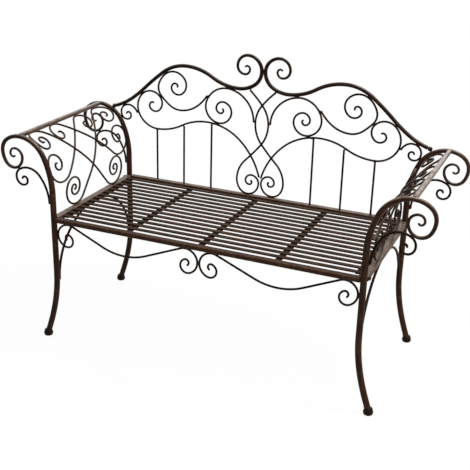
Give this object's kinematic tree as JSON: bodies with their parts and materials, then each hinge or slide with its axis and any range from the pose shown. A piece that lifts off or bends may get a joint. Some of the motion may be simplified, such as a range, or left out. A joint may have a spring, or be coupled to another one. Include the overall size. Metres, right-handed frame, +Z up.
{
  "type": "metal garden bench",
  "caption": "Metal garden bench with scrolled arms, a slatted seat, a scrolled back with curled finials and an apron of scrolls under the front rail.",
  "frame": {"origin": "on the floor, under the middle of the bench", "axes": "+X along the bench to the right as seen from the front, +Y to the rear, +Z up; the sitter faces -Y"},
  "size_m": [1.3616, 0.5054, 0.8982],
  "materials": {
    "frame_enamel": "satin dark bronze-brown enamel, rubbed on edges",
    "slat_enamel": "satin dark bronze-brown enamel, slightly chalked on top",
    "foot_cap": "moulded dark brown, matte",
    "fixings": "satin dark brown"
  },
  "bodies": {
    "root": {"apron_scroll_left": "frame_enamel", "apron_scroll_right": "frame_enamel", "arch_brace_left": "frame_enamel", "arch_brace_right": "frame_enamel", "arm_rail_left": "frame_enamel", "arm_rail_right": "frame_enamel", "arm_scroll_inner_forward_left": "frame_enamel", "arm_scroll_inner_forward_right": "frame_enamel", "arm_scroll_inner_rearward_left": "frame_enamel", "arm_scroll_inner_rearward_right": "frame_enamel", "arm_scroll_outer_forward_left": "frame_enamel", "arm_scroll_outer_forward_right": "frame_enamel", "arm_scroll_outer_rearward_left": "frame_enamel", "arm_scroll_outer_rearward_right": "frame_enamel", "back_corner_left": "frame_enamel", "back_corner_right": "frame_enamel", "back_crown_left": "frame_enamel", "back_crown_right": "frame_enamel", "back_heart_left": "frame_enamel", "back_heart_right": "frame_enamel", "back_lyre_left": "frame_enamel", "back_lyre_right": "frame_enamel", "back_wave_left": "frame_enamel", "back_wave_right": "frame_enamel", "baluster_inner_left": "frame_enamel", "baluster_inner_right": "frame_enamel", "baluster_middle_left": "frame_enamel", "baluster_middle_right": "frame_enamel", "baluster_outer_left": "frame_enamel", "baluster_outer_right": "frame_enamel", "bracket_front_left": "frame_enamel", "bracket_front_right": "frame_enamel", "bracket_rear_left": "frame_enamel", "bracket_rear_right": "frame_enamel", "foot_front_left": "foot_cap", "foot_front_right": "foot_cap", "foot_rear_left": "foot_cap", "foot_rear_right": "foot_cap", "front_rail": "frame_enamel", "knob_bolts": "fixings", "knob_left": "frame_enamel", "knob_right": "frame_enamel", "post_front_left": "frame_enamel", "post_front_right": "frame_enamel", "post_rear_left": "frame_enamel", "post_rear_right": "frame_enamel", "rear_rail": "frame_enamel", "seat_bolts": "fixings", "seat_end_left": "frame_enamel", "seat_end_right": "frame_enamel", "seat_nuts": "fixings", "seat_slats": "slat_enamel", "seat_straps": "slat_enamel", "side_rail_left": "frame_enamel", "side_rail_right": "frame_enamel", "top_rail_left": "frame_enamel", "top_rail_right": "frame_enamel"}
  },
  "joints": []
}
